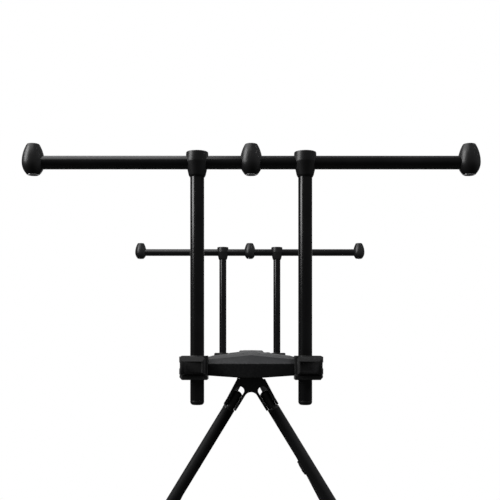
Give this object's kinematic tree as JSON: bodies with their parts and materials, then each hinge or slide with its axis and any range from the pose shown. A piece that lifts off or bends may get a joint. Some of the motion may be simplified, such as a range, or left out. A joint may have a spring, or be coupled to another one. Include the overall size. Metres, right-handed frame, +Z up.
{
  "type": "fishing rod pod",
  "caption": "Free-standing fishing rod pod: sliding goalposts with threaded rest housings on lever clamps, a telescoping spine and splayed legs that fold and telescope.",
  "frame": {"origin": "on the ground, midway between the front and rear bars and between the uprights", "axes": "+X to the right seen from the front bar, +Y from the front bar to the rear bar, +Z up"},
  "size_m": [0.4584, 0.8836, 0.566],
  "materials": {
    "black_tube": "satin",
    "moulded_black": "matte",
    "rest_housing": "matte",
    "lever_black": "matte",
    "collar_black": "matte",
    "head_casting": "satin",
    "bracket_casting": "matte",
    "thread_insert": "satin",
    "steel": "satin",
    "rubber": "matte"
  },
  "bodies": {
    "front_section": {"front_head": "head_casting", "spine_outer_tube": "black_tube", "spine_lock_collar": "moulded_black", "front_leg_bracket": "bracket_casting", "front_left_clamp": "moulded_black", "front_right_clamp": "moulded_black", "front_clamp_hardware": "steel", "front_bracket_hardware": "steel"},
    "rear_section": {"rear_head": "head_casting", "spine_inner_tube": "black_tube", "rear_leg_bracket": "bracket_casting", "rear_left_clamp": "moulded_black", "rear_right_clamp": "moulded_black", "rear_clamp_hardware": "steel", "rear_bracket_hardware": "steel"},
    "front_goalpost": {"front_bar": "black_tube", "front_left_upright": "black_tube", "front_right_upright": "black_tube", "front_left_tee": "moulded_black", "front_right_tee": "moulded_black", "front_left_housing": "rest_housing", "front_centre_housing": "rest_housing", "front_right_housing": "rest_housing", "front_thread_inserts": "thread_insert", "front_upright_plugs": "moulded_black"},
    "front_left_lever": {"front_left_lever": "lever_black"},
    "front_left_leg": {"front_left_hinge_plug": "moulded_black", "front_left_upper_leg": "black_tube"},
    "front_left_leg_extension": {"front_left_lower_leg": "black_tube", "front_left_foot": "rubber"},
    "front_left_leg_lock": {"front_left_twist_collar": "collar_black"},
    "front_right_lever": {"front_right_lever": "lever_black"},
    "front_right_leg": {"front_right_hinge_plug": "moulded_black", "front_right_upper_leg": "black_tube"},
    "front_right_leg_extension": {"front_right_lower_leg": "black_tube", "front_right_foot": "rubber"},
    "front_right_leg_lock": {"front_right_twist_collar": "collar_black"},
    "rear_goalpost": {"rear_bar": "black_tube", "rear_left_upright": "black_tube", "rear_right_upright": "black_tube", "rear_left_tee": "moulded_black", "rear_right_tee": "moulded_black", "rear_left_housing": "rest_housing", "rear_centre_housing": "rest_housing", "rear_right_housing": "rest_housing", "rear_thread_inserts": "thread_insert", "rear_upright_plugs": "moulded_black"},
    "rear_left_lever": {"rear_left_lever": "lever_black"},
    "rear_left_leg": {"rear_left_hinge_plug": "moulded_black", "rear_left_upper_leg": "black_tube"},
    "rear_left_leg_extension": {"rear_left_lower_leg": "black_tube", "rear_left_foot": "rubber"},
    "rear_left_leg_lock": {"rear_left_twist_collar": "collar_black"},
    "rear_right_lever": {"rear_right_lever": "lever_black"},
    "rear_right_leg": {"rear_right_hinge_plug": "moulded_black", "rear_right_upper_leg": "black_tube"},
    "rear_right_leg_extension": {"rear_right_lower_leg": "black_tube", "rear_right_foot": "rubber"},
    "rear_right_leg_lock": {"rear_right_twist_collar": "collar_black"},
    "spine_lock": {"spine_lock_knob": "lever_black"}
  },
  "joints": [
    {"name": "spine_slide", "type": "slide", "parent": "front_section", "child": "rear_section", "axis": [0, 1, 0], "range_m": [-0.28, 0.04]},
    {"name": "front_goalpost_slide", "type": "slide", "parent": "front_section", "child": "front_goalpost", "axis": [0, 0, 1], "range_m": [-0.165, 0.02]},
    {"name": "front_left_lever_swing", "type": "hinge", "parent": "front_section", "child": "front_left_lever", "pos_m": [-0.0659, -0.4367, 0.335], "axis": [0, 0, -1], "range_deg": [0, 100]},
    {"name": "front_left_leg_fold", "type": "hinge", "parent": "front_section", "child": "front_left_leg", "pos_m": [-0.0186, -0.4, 0.29953], "axis": [0.8536, 0, -0.521], "range_deg": [0, 90]},
    {"name": "front_left_leg_extend", "type": "slide", "parent": "front_left_leg", "child": "front_left_leg_extension", "axis": [0.521, 0, 0.8536], "range_m": [-0.054, 0.085]},
    {"name": "front_left_leg_lock_twist", "type": "hinge", "parent": "front_left_leg", "child": "front_left_leg_lock", "pos_m": [-0.11759, -0.4, 0.13735], "axis": [-0.521, 0, -0.8536], "range_deg": [0, 120]},
    {"name": "front_right_lever_swing", "type": "hinge", "parent": "front_section", "child": "front_right_lever", "pos_m": [0.0659, -0.4367, 0.335], "axis": [0, 0, 1], "range_deg": [0, 100]},
    {"name": "front_right_leg_fold", "type": "hinge", "parent": "front_section", "child": "front_right_leg", "pos_m": [0.0186, -0.4, 0.29953], "axis": [0.8536, 0, 0.521], "range_deg": [0, 90]},
    {"name": "front_right_leg_extend", "type": "slide", "parent": "front_right_leg", "child": "front_right_leg_extension", "axis": [-0.521, 0, 0.8536], "range_m": [-0.054, 0.085]},
    {"name": "front_right_leg_lock_twist", "type": "hinge", "parent": "front_right_leg", "child": "front_right_leg_lock", "pos_m": [0.11759, -0.4, 0.13735], "axis": [0.521, 0, -0.8536], "range_deg": [0, 120]},
    {"name": "rear_goalpost_slide", "type": "slide", "parent": "rear_section", "child": "rear_goalpost", "axis": [0, 0, 1], "range_m": [-0.17, 0.012]},
    {"name": "rear_left_lever_swing", "type": "hinge", "parent": "rear_section", "child": "rear_left_lever", "pos_m": [-0.0659, 0.4367, 0.335], "axis": [0, 0, 1], "range_deg": [0, 100]},
    {"name": "rear_left_leg_fold", "type": "hinge", "parent": "rear_section", "child": "rear_left_leg", "pos_m": [-0.01648, 0.4, 0.29833], "axis": [-0.887, 0, 0.4617], "range_deg": [0, 90]},
    {"name": "rear_left_leg_extend", "type": "slide", "parent": "rear_left_leg", "child": "rear_left_leg_extension", "axis": [0.4617, 0, 0.887], "range_m": [-0.068, 0.07]},
    {"name": "rear_left_leg_lock_twist", "type": "hinge", "parent": "rear_left_leg", "child": "rear_left_leg_lock", "pos_m": [-0.10422, 0.4, 0.1298], "axis": [-0.4617, 0, -0.887], "range_deg": [0, 120]},
    {"name": "rear_right_lever_swing", "type": "hinge", "parent": "rear_section", "child": "rear_right_lever", "pos_m": [0.0659, 0.4367, 0.335], "axis": [0, 0, -1], "range_deg": [0, 100]},
    {"name": "rear_right_leg_fold", "type": "hinge", "parent": "rear_section", "child": "rear_right_leg", "pos_m": [0.01648, 0.4, 0.29833], "axis": [-0.887, 0, -0.4617], "range_deg": [0, 90]},
    {"name": "rear_right_leg_extend", "type": "slide", "parent": "rear_right_leg", "child": "rear_right_leg_extension", "axis": [-0.4617, 0, 0.887], "range_m": [-0.068, 0.07]},
    {"name": "rear_right_leg_lock_twist", "type": "hinge", "parent": "rear_right_leg", "child": "rear_right_leg_lock", "pos_m": [0.10422, 0.4, 0.1298], "axis": [0.4617, 0, -0.887], "range_deg": [0, 120]},
    {"name": "spine_knob_turn", "type": "hinge", "parent": "front_section", "child": "spine_lock", "pos_m": [0.02, 0.036, 0.3383], "axis": [1, 0, 0], "range_deg": [0, 360]}
  ]
}
